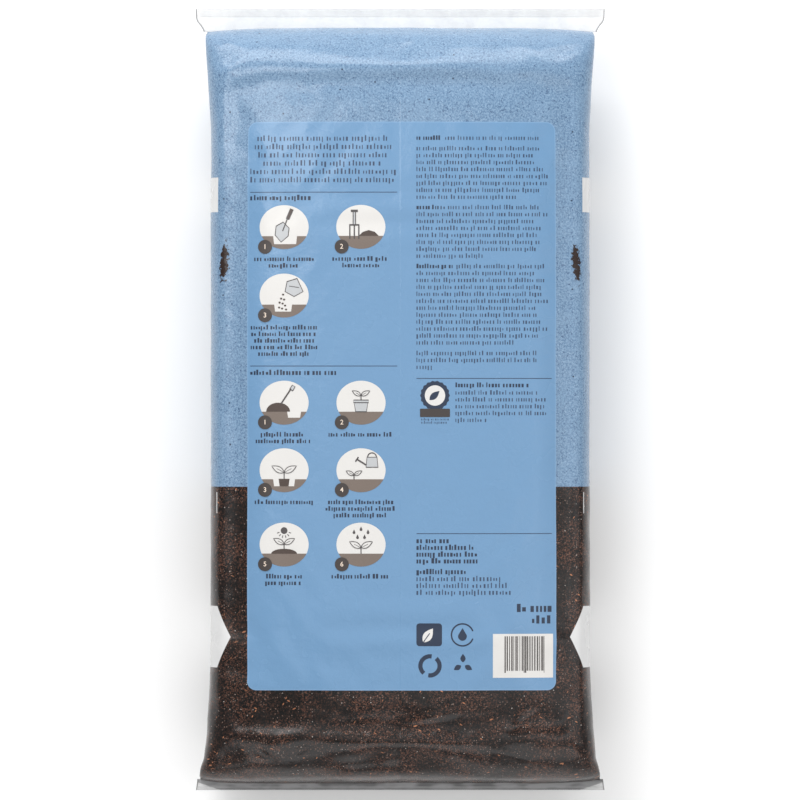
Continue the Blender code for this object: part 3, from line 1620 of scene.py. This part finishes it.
@dataclass
class RoundPicture:
    """Draws one instruction picture: a pale disc with earth along its foot, a motif and a badge."""

    drawing: Drawing
    step: Step
    radius_x: float = 24.6
    radius_y: float = 22.0
    earth_top: float = -9.0

    def at(self, points: Sequence[Point]) -> list[Point]:
        """Moves points from the picture's centre to their place.

        Args:
            points: Points about the centre.

        Returns:
            The points in place.
        """
        return [(self.step.across + x, self.step.along + y) for x, y in points]

    def ground(self) -> None:
        """Draws the disc, the earth and the numbered badge."""
        self.drawing.shape(self.at(arc((0, 0), self.radius_x, self.radius_y, 0, 355, 72)), Ink.DISC, 0)
        edge = np.degrees(np.arcsin(self.earth_top / self.radius_y))
        earth = arc((0, 0), self.radius_x, self.radius_y, 180 - edge, 360 + edge, 30)
        self.drawing.shape(self.at(earth), Ink.EARTH, 1)
        badge = (-19.2, -19.7)
        self.drawing.shape(self.at(arc(badge, 7.0, 7.0, 0, 350, 36)), Ink.BADGE, 7)
        self.drawing.numeral(self.step.number, self.at([badge])[0], 5.0, Ink.NUMBER, 9)

    def seedling(self, foot: Point, size: float, spread: float = 28.0) -> None:
        """Draws a stem with two leaves.

        Args:
            foot: Where the stem leaves the soil.
            size: Length of a leaf.
            spread: Angle of the leaves above level, in degrees.
        """
        fork = (foot[0], foot[1] + size * 0.45)
        self.drawing.line(self.at([foot, fork]), 1.0, Ink.STROKE, 5)
        for turn in (spread, 180 - spread):
            self.drawing.outlined(self.at(leaf(fork, size, size * 0.42, turn)), Ink.DISC, 5, 0.8)
            vein = [fork, (fork[0] + size * 0.6 * cos(radians(turn)), fork[1] + size * 0.6 * sin(radians(turn)))]
            self.drawing.line(self.at(vein), 0.5, Ink.STROKE, 7)

    def pit(self, left: float, right: float, floor: float) -> None:
        """Draws a hole dug in the earth.

        Args:
            left: Its left side.
            right: Its right side.
            floor: Its bottom.
        """
        hole = [(left, self.earth_top + 0.3), (left + 1, floor), (right - 1, floor), (right, self.earth_top + 0.3)]
        self.drawing.shape(self.at(hole), Ink.DISC, 2)

    def pot(self, foot: float, width: float, height: float, ink: Ink) -> None:
        """Draws a flower pot.

        Args:
            foot: Level of its base.
            width: Width of its rim.
            height: Its height.
            ink: Its ink.
        """
        half = width / 2
        sides = [(-half * 0.72, foot), (half * 0.72, foot), (half * 0.92, foot + height), (-half * 0.92, foot + height)]
        self.drawing.outlined(self.at(sides), ink, 3)
        rim = [(-half, foot + height), (half, foot + height), (half, foot + height + 2.6), (-half, foot + height + 2.6)]
        self.drawing.outlined(self.at(rim), ink, 3)

    def trowel(self) -> None:
        """A trowel that stands in a hole."""
        self.pit(-11, 13, -17)
        self.drawing.outlined(self.at([(-1, 5), (-8, 1), (-9, -8), (-3, -15), (4, -9), (5, -1)]), Ink.METAL, 3)
        self.drawing.line(self.at([(-1.5, -4), (3.5, 9)]), 1.2, Ink.STROKE, 5)
        self.drawing.outlined(self.at([(2.2, 8.6), (4.8, 7.6), (9.2, 17.4), (6.4, 18.6)]), Ink.POT, 3)

    def fork(self) -> None:
        """A garden fork beside loosened earth."""
        mound = [(-2, -9), (2, -5), (8, -3.2), (14, -5), (18, -9)]
        self.drawing.shape(self.at(mound), Ink.POT, 3)
        for tine in (-11, -6.5, -2):
            self.drawing.line(self.at([(tine, 2), (tine, -12)]), 1.3, Ink.STROKE, 4)
        self.drawing.line(self.at([(-11.6, 2), (-1.4, 2)]), 1.6, Ink.STROKE, 4)
        self.drawing.outlined(self.at([(-7.7, 2), (-5.3, 2), (-5.3, 15), (-7.7, 15)]), Ink.METAL, 3)
        self.drawing.line(self.at([(-10, 16), (-3, 16)]), 2.4, Ink.STROKE, 4)

    def sack(self) -> None:
        """A tipped sack that pours into a hole."""
        self.pit(-10, 8, -16)
        self.drawing.outlined(self.at([(3, 14), (13, 17), (19, 4), (10, -1), (1, 4)]), Ink.METAL, 3)
        self.drawing.line(self.at([(5, 9.5), (15, 8)]), 0.7, Ink.STROKE, 5)
        for x, y in ((-1, 1), (-3, -3), (0, -4), (-4.5, -7), (-1.5, -8), (1, -10), (-5, -12), (-2, -13), (2, -14)):
            self.drawing.shape(self.at(arc((x, y), 1.2, 1.0, 0, 330, 9)), Ink.POT, 4)

    def potted(self) -> None:
        """A seedling in a pot that stands on the earth."""
        self.pot(self.earth_top, 15, 9, Ink.METAL)
        self.seedling((0, 2.6), 10)

    def sprout(self) -> None:
        """A root ball set in a hole."""
        self.pit(-11, 11, -16)
        self.drawing.shape(self.at([(-4.5, -16), (4.5, -16), (5.5, -8.6), (-5.5, -8.6)]), Ink.POT, 4)
        self.seedling((0, -8.6), 14)

    def heap(self) -> None:
        """A heap of compost beside a hole."""
        self.pit(3, 17, -15)
        mound = arc((-6, -9), 12, 9, 0, 180, 17)
        self.drawing.shape(self.at(mound), Ink.POT, 3)
        self.drawing.line(self.at([(-3, -1), (7, 14)]), 1.5, Ink.STROKE, 5)
        self.drawing.outlined(self.at([(5.6, 13.4), (8.6, 11.8), (11, 16), (8.2, 17.6)]), Ink.METAL, 5)

    def can(self) -> None:
        """A watering can above a seedling."""
        self.drawing.outlined(self.at([(5, 3), (17, 3), (16, 13), (6, 13)]), Ink.METAL, 3)
        self.drawing.line(self.at([(5.5, 5), (-4, 11)]), 1.6, Ink.STROKE, 5)
        self.drawing.line(self.at([(-5.6, 8.6), (-2.6, 13.2)]), 1.4, Ink.STROKE, 5)
        self.drawing.line(self.at(arc((11, 13), 4.4, 4.4, 0, 180, 12)), 1.1, Ink.STROKE, 5)
        self.seedling((-7, -9), 9)

    def sun(self) -> None:
        """A seedling in a mound under the sun."""
        self.drawing.shape(self.at(arc((0, -9.2), 13, 5, 0, 180, 15)), Ink.POT, 3)
        self.seedling((0, -5), 12)
        self.drawing.shape(self.at(arc((0, 14), 3.4, 3.4, 0, 345, 24)), Ink.STROKE, 3)
        for turn in range(200, 341, 28):
            ray = [(5 * cos(radians(turn)), 14 + 5 * sin(radians(turn)))]
            ray.append((7.4 * cos(radians(turn)), 14 + 7.4 * sin(radians(turn))))
            self.drawing.line(self.at(ray), 0.8, Ink.STROKE, 3)

    def drops(self) -> None:
        """Water that falls on a seedling."""
        self.seedling((0, -9), 13)
        for x, y in ((-7, 12), (0, 15), (7, 12), (-3.5, 7), (3.5, 7)):
            drop = [(x, y + 3.2), *arc((x, y), 1.4, 1.4, 20, -200, 9)]
            self.drawing.shape(self.at(drop), Ink.STROKE, 3)

    def draw(self) -> None:
        """Draws the whole picture."""
        self.ground()
        motifs = {
            Motif.TROWEL: self.trowel,
            Motif.FORK: self.fork,
            Motif.SACK: self.sack,
            Motif.POT: self.potted,
            Motif.SPROUT: self.sprout,
            Motif.HEAP: self.heap,
            Motif.CAN: self.can,
            Motif.SUN: self.sun,
            Motif.DROPS: self.drops,
        }
        motifs[self.step.motif]()


@dataclass
class BackPrint:
    """Everything printed small on the back's plain panel."""

    left: float = -150.2
    gutter_left: float = -3.0
    column: float = 16.3
    right: float = 151.8
    body: float = 3.3
    pitch: float = 6.95

    def paragraph(self, light: Writing, bold: Writing, first: float, lines: int, last: float, lead: float) -> None:
        """Writes one paragraph of the right column.

        Args:
            light: The light writing.
            bold: The bold writing.
            first: Middle of its first line.
            lines: How many lines.
            last: Where its last line ends.
            lead: Where its bold opening ends, or the column's edge for none.
        """
        for row in range(lines):
            start = self.column
            if row == 0 and lead > self.column:
                bold.line(start, lead, first, self.body)
                start = lead + 1.5
            end = last if row == lines - 1 else light.draws.uniform(135.0, 149.5)
            light.line(start, end, first - row * self.pitch, self.body)

    def write(self, light: Writing, bold: Writing) -> None:
        """Writes both columns.

        Args:
            light: The light writing.
            bold: The bold writing.
        """
        middle = (self.left + self.gutter_left) / 2
        light.centred(middle, (133, 138, 131, 121, 147, 147), 261.0, 8.3, 4.1)
        bold.line(self.left, -88.0, 201.5, 3.9)
        bold.line(self.left, -63.0, 26.5, 3.9)
        for step in STEPS:
            bold.centred(step.across, step.caption, step.along - 32.2, 6.6, 3.4)
        bold.line(self.column, 43.0, 261.5, self.body)
        light.line(45.0, 140.8, 261.5, self.body)
        self.paragraph(light, bold, 251.0, 8, 117.8, self.column)
        self.paragraph(light, bold, 192.0, 8, 83.8, 38.8)
        self.paragraph(light, bold, 133.0, 12, 118.8, 54.8)
        self.paragraph(light, bold, 46.0, 3, 35.8, self.column)
        bold.line(55.3, 130.8, 14.0, 3.5)
        for row, end in enumerate((140.0, 147.8, 146.0, 148.0, 88.8)):
            light.line(55.3, end, 6.5 - row * 6.85, self.body)
        for row, end in enumerate((49.0, 76.8, 78.8, 78.8)):
            bold.line(self.column, end, -141.8 - row * 6.75, 3.9)
        bold.line(self.column, 71.8, -172.8, 3.9)
        for row, end in enumerate((101.3, 113.8, 115.3)):
            light.line(self.column, end, -179.8 - row * 6.85, 3.9)
        bold.line(116.8, 152.4, -209.7, 6.0)
        bold.line(132.0, 152.4, -221.3, 6.0)
        light.line(21.0, 49.0, -20.0, 1.9)
        light.line(21.0, 49.0, -23.2, 1.9)

    def rules(self, drawing: Drawing) -> None:
        """Draws the thin rules between the sections.

        Args:
            drawing: The pad.
        """
        for left, right, y in (
            (self.left, self.gutter_left, 207.5),
            (self.left, self.gutter_left, 33.5),
            (self.column, self.right, 21.1),
            (self.column, self.right, -134.2),
        ):
            drawing.box(left, y - 0.35, right, y + 0.35, Ink.TEXT, 0)

    def barcode(self, drawing: Drawing) -> None:
        """Draws a block of plain bars on its white field.

        Args:
            drawing: The pad.
        """
        drawing.box(92.8, -278.6, 153.2, -234.6, Ink.DISC, 0)
        draws = np.random.default_rng(7)
        place, end, module = 104.4, 144.4, 0.42
        while place < end - module:
            bar = module * int(draws.integers(1, 4))
            guard = place < 105.5 or place > 142.5 or abs(place - 124.4) < 0.8
            foot = -273.6 if guard else -271.6
            drawing.box(place, foot, min(place + bar, end), -237.0, Ink.BADGE, 1)
            place += bar + module * int(draws.integers(1, 4))

    def marks(self, drawing: Drawing) -> None:
        """Draws the plain round and square marks.

        Args:
            drawing: The pad.
        """
        drawing.box(16.2, -246.8, 41.8, -224.0, Ink.BOLD, 0, 3.0)
        drawing.shape(leaf((23.0, -243.0), 17.0, 9.0, 55), Ink.DISC, 1)
        drawing.line([(22.0, -244.5), (29.5, -234.0)], 0.9, Ink.BOLD, 2)
        drawing.line(arc((62.3, -235.5), 11.0, 11.0, 20, 340, 40), 1.5, Ink.BOLD, 0)
        drawing.shape([(62.3, -228.6), *arc((62.3, -237.0), 4.4, 4.4, 20, -200, 15)], Ink.BOLD, 0)
        for start in (80, 260):
            drawing.line(arc((29.8, -266.5), 9.6, 9.6, start, start + 150, 20), 4.2, Ink.BOLD, 0)
        for turn in (90, 210, 330):
            foot = (62.8 + 2.2 * cos(radians(turn)), -265.2 + 2.2 * sin(radians(turn)))
            drawing.shape(leaf(foot, 8.4, 5.2, turn), Ink.BOLD, 0)

    def seal(self, drawing: Drawing) -> None:
        """Draws the round seal with its plain plate.

        Args:
            drawing: The pad.
        """
        centre = (34.8, 4.0)
        scallops = []
        for i in range(72):
            reach = 14.4 + 0.5 * cos(radians(i * 5 * 18))
            scallops.append((centre[0] + reach * cos(radians(i * 5)), centre[1] + reach * sin(radians(i * 5))))
        drawing.shape(scallops, Ink.BOLD, 0)
        drawing.shape(arc(centre, 10.2, 10.2, 0, 355, 40), Ink.DISC, 1)
        drawing.shape(leaf((centre[0] - 5.5, centre[1] - 4.5), 13.5, 6.4, 42), Ink.BOLD, 2)
        drawing.box(19.8, -17.6, 49.8, -9.2, Ink.BADGE, 3, 1.0)

    def lay(self, film: bpy.types.Object) -> list[bpy.types.Object]:
        """Makes the print and lays it on the film.

        Args:
            film: The film.

        Returns:
            The pieces.
        """
        light = Writing("light_print", Ink.TEXT, 11, 0.42)
        bold = Writing("bold_print", Ink.BOLD, 12, 0.6)
        self.write(light, bold)
        pictures = Drawing("round_pictures")
        for step in STEPS:
            RoundPicture(pictures, step).draw()
        plates = Drawing("marks_and_rules")
        self.rules(plates)
        self.barcode(plates)
        self.marks(plates)
        self.seal(plates)
        tree = tick_tree()
        return [
            light.laid_on(film, tree),
            bold.laid_on(film, tree),
            pictures.laid_on(film),
            plates.laid_on(film),
        ]


# ---------------------------------------------------------------------------------------------
# Studio
# ---------------------------------------------------------------------------------------------


@dataclass
class Studio:
    """A pale floor, soft lights and a camera that looks straight down on the bag's back."""

    reach: float = 30.0
    fin_level: float = 0.076
    lens: float = 360.0
    field_width: float = 0.8

    def floor(self) -> bpy.types.Object:
        """Lays the floor.

        Returns:
            The floor.
        """
        mesh = bpy.data.meshes.new("floor")
        bm = bmesh.new()
        bmesh.ops.create_grid(bm, x_segments=1, y_segments=1, size=self.reach)
        bm.to_mesh(mesh)
        bm.free()
        material, graph = new_material("floor_paint")
        place = graph.wire("ShaderNodeTexCoord", None, None, "Object")
        tone = graph.blend(graph.noise(place, 3.0), (0.92, 0.92, 0.92), (0.94, 0.94, 0.94))
        shader = graph.add("ShaderNodeBsdfPrincipled", None, {"Base Color": tone, "Roughness": 0.9})
        shader.inputs["Specular IOR Level"].default_value = 0.1
        graph.add("ShaderNodeOutputMaterial", None, {"Surface": shader.outputs[0]})
        mesh.materials.append(material)
        floor = bpy.data.objects.new("floor", mesh)
        bpy.context.scene.collection.objects.link(floor)
        return floor

    def softbox(self, name: str, place: Point3, aim: Point3, size: Point, power: float) -> None:
        """Hangs a softbox.

        Args:
            name: Its name.
            place: Where it hangs.
            aim: What it points at.
            size: Its width and height.
            power: Watts.
        """
        light = bpy.data.lights.new(name, "AREA")
        light.shape = "RECTANGLE"
        light.size, light.size_y = size
        light.energy = power
        lamp = bpy.data.objects.new(name, light)
        lamp.location = place
        lamp.rotation_mode = "QUATERNION"
        lamp.rotation_quaternion = (Vector(aim) - Vector(place)).to_track_quat("-Z", "Y")
        lamp.visible_camera = False
        bpy.context.scene.collection.objects.link(lamp)

    def surround(self, strength: float) -> None:
        """Fills the room with even light.

        Args:
            strength: Brightness of the walls.
        """
        world = bpy.data.worlds.new("room")
        bpy.context.scene.world = world
        world.use_nodes = True
        graph = Graph(world.node_tree)
        walls = graph.add("ShaderNodeBackground", None, {"Color": (1.0, 1.0, 1.0), "Strength": strength})
        graph.add("ShaderNodeOutputWorld", None, {"Surface": walls.outputs[0]})

    def camera(self) -> None:
        """Sets the camera above the bag, with the bag's top end at the top of the view."""
        data = bpy.data.cameras.new("camera")
        data.lens = self.lens
        data.sensor_width = 36.0
        away = self.field_width * data.lens / data.sensor_width
        data.clip_end = 100.0
        camera = bpy.data.objects.new("camera", data)
        camera.location = (-0.0002, -0.0005, self.fin_level + away)
        bpy.context.scene.collection.objects.link(camera)
        bpy.context.scene.camera = camera

    def set_up(self) -> None:
        """Builds the studio."""
        self.floor()
        self.surround(0.44)
        self.softbox("overhead", (0.45, -0.4, 3.0), (0.0, 0.0, 0.1), (1.7, 2.2), 8.0)
        self.softbox("window", (-0.87, 0.85, 2.4), (0.0, 0.0, 0.1), (1.1, 1.25), 22.0)
        self.softbox("top_end", (-0.3, 3.6, 1.7), (0.0, 0.0, 0.1), (5.0, 2.0), 170.0)
        self.softbox("bottom_end", (0.4, -3.2, 2.2), (0.0, 0.0, 0.1), (5.0, 2.5), 60.0)
        self.softbox("right_fill", (2.2, -0.5, 2.6), (0.0, 0.0, 0.1), (1.5, 3.0), 14.0)
        self.camera()
        bpy.context.scene.view_settings.view_transform = "Standard"


# ---------------------------------------------------------------------------------------------
# Making it all
# ---------------------------------------------------------------------------------------------


@dataclass(frozen=True)
class Settling:
    """Lets the film find its own folds: a cut rectangle of film, held at its welds and blown against its fill."""

    frames: int = 24
    pressure: float = 2.0
    hold: float = 0.10
    ground_hold: float = 0.6
    limit: float = 0.009
    end_reach: float = 0.035
    side_from: float = 0.165
    side_share: float = 0.35

    def cut_shape(self, tube: FilledTube) -> np.ndarray:
        """Places of the film as it was cut: a plain tube with the film's true lengths.

        Args:
            tube: The filled tube.

        Returns:
            One row for each vertex.
        """
        columns = 4 * tube.quarter
        turn = np.arange(columns) / columns * tau
        radius = tube.way_round / tau
        cut = np.zeros((len(tube.rows), columns, 3))
        cut[:, :, 0] = radius * np.sin(turn)
        cut[:, :, 1] = tube.run[:, None]
        cut[:, :, 2] = radius * np.cos(turn)
        return cut.reshape(-1, 3)

    def settle(self, film: bpy.types.Object, tube: FilledTube) -> None:
        """Runs the film as cloth and keeps the result in its mesh.

        Args:
            film: The coarse film, whose ends are still open.
            tube: The filled tube.
        """
        start = vertex_places(film.data)
        columns = 4 * tube.quarter
        film.shape_key_add(name="filled")
        cut = film.shape_key_add(name="cut")
        cut.data.foreach_set("co", self.cut_shape(tube).reshape(-1))
        cut.value = 0.0
        holds = film.vertex_groups.new(name="holds")
        last = len(start) - 2 * columns
        for index, (_, _, z) in enumerate(start):
            welded = index < 2 * columns or index >= last
            weight = 1.0 if welded else self.ground_hold if z < 0.004 else self.hold
            holds.add([index], weight, "REPLACE")
        cloth = film.modifiers.new("film_cloth", "CLOTH")
        cloth.settings.quality = 4
        cloth.settings.mass = 0.1
        cloth.settings.tension_stiffness = 30.0
        cloth.settings.compression_stiffness = 30.0
        cloth.settings.shear_stiffness = 8.0
        cloth.settings.bending_stiffness = 0.15
        cloth.settings.tension_damping = 12.0
        cloth.settings.compression_damping = 12.0
        cloth.settings.use_pressure = True
        cloth.settings.uniform_pressure_force = self.pressure
        cloth.settings.vertex_group_mass = "holds"
        cloth.settings.pin_stiffness = 1.0
        cloth.settings.rest_shape_key = cut
        cloth.settings.effector_weights.gravity = 0.0
        cloth.collision_settings.use_collision = False
        cloth.collision_settings.use_self_collision = False
        cloth.point_cache.frame_start = 1
        cloth.point_cache.frame_end = self.frames
        scene = bpy.context.scene
        for number in range(1, self.frames + 1):
            scene.frame_set(number)
        graph = bpy.context.evaluated_depsgraph_get()
        ended = vertex_places(film.evaluated_get(graph).data)
        film.modifiers.remove(cloth)
        film.shape_key_clear()
        film.vertex_groups.clear()
        scene.frame_set(1)
        move = ended - start
        far = np.linalg.norm(move, axis=1, keepdims=True)
        log.info("film settled: moved %.1f mm at most, %.1f on average", far.max() * 1e3, far.mean() * 1e3)
        move *= np.tanh(far / self.limit) * self.limit / np.maximum(far, 1e-9)
        from_end = np.minimum(start[:, 1] - start[:, 1].min(), start[:, 1].max() - start[:, 1])
        move[:, 1] *= np.clip(from_end / self.end_reach, 0.0, 1.0)
        edge = np.clip((np.abs(start[:, 0]) - self.side_from) / 0.02, 0.0, 1.0)
        move[:, 0] *= 1.0 - (1.0 - self.side_share) * edge
        places = start + move
        places[:, 2] = np.maximum(places[:, 2], 0.0)
        film.data.vertices.foreach_set("co", places.reshape(-1))
        film.data.update()


def refined(film: bpy.types.Object) -> bpy.types.Object:
    """Rounds the coarse film once.

    Args:
        film: The coarse film.

    Returns:
        The fine film.
    """
    smooth = film.modifiers.new("rounding", "SUBSURF")
    smooth.levels = 1
    smooth.render_levels = 1
    smooth.boundary_smooth = "PRESERVE_CORNERS"
    return as_plain_mesh(film, "film_tube")


def sewn_up(film: bpy.types.Object) -> None:
    """Merges the doubled points along the welds and turns every face outwards.

    Args:
        film: The film.
    """
    bm = bmesh.new()
    bm.from_mesh(film.data)
    bmesh.ops.remove_doubles(bm, verts=bm.verts, dist=1e-5)
    bmesh.ops.recalc_face_normals(bm, faces=bm.faces)
    bm.to_mesh(film.data)
    bm.free()
    film.data.shade_smooth()


def dent(film: bpy.types.Object, dents: Sequence[Dent], level: float) -> None:
    """Presses dents into the film's upper face.

    Args:
        film: The film.
        dents: The dents.
        level: Height above which the film is its upper face.
    """
    places = vertex_places(film.data)
    upper = np.clip((places[:, 2] - level) / 0.02, 0.0, 1.0)
    drop = sum(each.lowering(places[:, 0], places[:, 1]) for each in dents)
    places[:, 2] -= drop * upper
    film.data.vertices.foreach_set("co", places.reshape(-1))
    film.data.update()


def main() -> None:
    """Builds the bag's looks in order."""
    low, high = CAD_BOX
    tube = FilledTube(high.x - low.x, high.y - low.y, high.z - low.z)
    film = tube.film()
    Settling().settle(film, tube)
    sewn_up(film)
    film = refined(film)
    dent(film, TOP_DENTS + BOTTOM_DENTS, tube.fin_level)
    film = relief_tree().run_on(film, "film_tube")
    film.data.materials.clear()
    finish = PrintedFilmFinish(
        girth=tube.way_round,
        soil_line=-87.4 * ARTWORK_MM,
        panel_left=-153.8 * ARTWORK_MM,
        panel_right=156.8 * ARTWORK_MM,
        panel_top=278.5 * ARTWORK_MM,
        panel_bottom=-291.5 * ARTWORK_MM,
    )
    film.data.materials.append(finish.dress())
    film.data.shade_smooth()
    log.info("film: %d faces", len(film.data.polygons))
    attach(film, BODY)
    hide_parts(NODE)

    clear = ClearFilmFinish().dress()
    # The crimped film's darker grey is partly the milkier fused film and partly painted shade for the lines that the
    # jaw ridges shade.
    crimp_milk_and_painted_shade = ClearFilmFinish("crimped_film", linear(214, 214, 214), linear(190, 190, 191), 0.55).dress()
    folded = ClearFilmFinish("folded_film", linear(150, 150, 150), linear(120, 120, 121), 0.25).dress()
    heel = HeelFilmFinish(fold=0.180, slant=2.9, end=low.y).dress()
    ends = (
        WeldedEnd(
            "top_fin",
            tube.top - 0.004,
            high.y,
            ((0.3620, 0.1948), (0.3700, 0.1972), (0.3738, 0.1995), (0.3780, 0.2030), (0.3815, 0.2042), (high.y, 0.2045)),
            tube.fin_level,
            4,
            0.0022,
        ),
        WeldedEnd(
            "bottom_fin",
            tube.bottom + 0.004,
            low.y,
            ((tube.bottom + 0.006, 0.2025), (low.y, 0.2042)),
            tube.fin_level,
            2,
            0.0022,
            wave=0.0004,
        ),
    )
    pieces = []
    for end, sheet_finish in zip(ends, (clear, heel)):
        dressed = ((end.sheet(), sheet_finish), (end.beads(), folded), (end.jaw_ridges(), crimp_milk_and_painted_shade))
        for part, finish in dressed:
            part.data.materials.clear()
            part.data.materials.append(finish)
            pieces.append(part)
    pieces += BackPrint().lay(film)
    for piece in pieces:
        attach(piece, BODY)
        log.info("%s: %d faces", piece.name, len(piece.data.polygons))

    Studio(fin_level=tube.fin_level).set_up()


if __name__ == "__main__":
    logging.basicConfig(level=logging.INFO, format="%(message)s")
    main()
